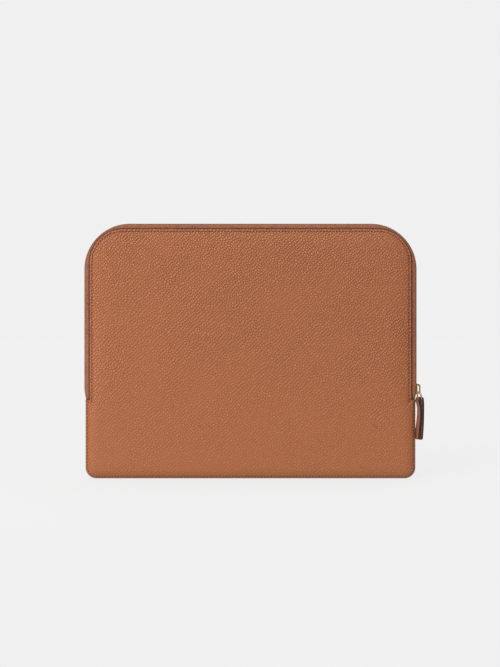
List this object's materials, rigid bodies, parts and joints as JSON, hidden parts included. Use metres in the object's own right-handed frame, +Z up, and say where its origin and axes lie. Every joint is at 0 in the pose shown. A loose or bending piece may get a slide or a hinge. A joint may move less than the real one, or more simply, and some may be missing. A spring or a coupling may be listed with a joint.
{
  "type": "laptop sleeve",
  "caption": "Slim padded leather laptop sleeve with a zip round the top and sides and a folded leather zip pull.",
  "frame": {"origin": "middle of the bounding box at the height of the bottom edge, with the sleeve standing upright", "axes": "+X across the sleeve towards the slider, +Y from the front to the back, +Z up"},
  "size_m": [0.3462, 0.0232, 0.2605],
  "materials": {
    "panel_leather": "fine pebbled grain, satin, painted cut edges",
    "gusset_leather": "fine grain, satin",
    "pull_leather": "smooth, dark painted edges",
    "foam": "soft closed-cell foam sheet",
    "lining": "brushed microfibre",
    "zip_tape": "woven herringbone tape",
    "brass": "polished pale gold"
  },
  "bodies": {
    "sleeve_body": {"back_panel": "panel_leather", "back_padding": "foam", "back_lining": "lining", "rear_gusset": "gusset_leather", "rear_zip_tape": "zip_tape", "rear_zip_teeth": "brass", "rear_zip_top_stop": "brass", "zip_bottom_stop": "brass", "front_panel_lower": "panel_leather", "front_padding_lower": "foam", "front_lining_lower": "lining"},
    "front_flap": {"front_panel_upper": "panel_leather", "front_padding_upper": "foam", "front_lining_upper": "lining", "front_gusset": "gusset_leather", "front_zip_tape": "zip_tape", "front_zip_teeth": "brass", "front_zip_top_stop": "brass"},
    "slider": {"zip_slider": "brass", "slider_crown": "brass"},
    "link": {"pull_link": "brass"},
    "pull": {"leather_pull": "pull_leather"}
  },
  "joints": [
    {"name": "mouth_opening", "type": "hinge", "parent": "sleeve_body", "child": "front_flap", "pos_m": [-0.00308, -0.0116, 0.08], "axis": [1, 0, 0], "range_deg": [0, 30]},
    {"name": "slider_travel", "type": "slide", "parent": "sleeve_body", "child": "slider", "axis": [0, 0, 1], "range_m": [0, 0.112]},
    {"name": "link_swing", "type": "hinge", "parent": "slider", "child": "link", "pos_m": [0.16912, 0, 0.0882], "axis": [0, -1, 0], "range_deg": [0, 130]},
    {"name": "pull_swing", "type": "hinge", "parent": "link", "child": "pull", "pos_m": [0.17022, 0, 0.0807], "axis": [0, -1, 0], "range_deg": [0, 40]}
  ]
}
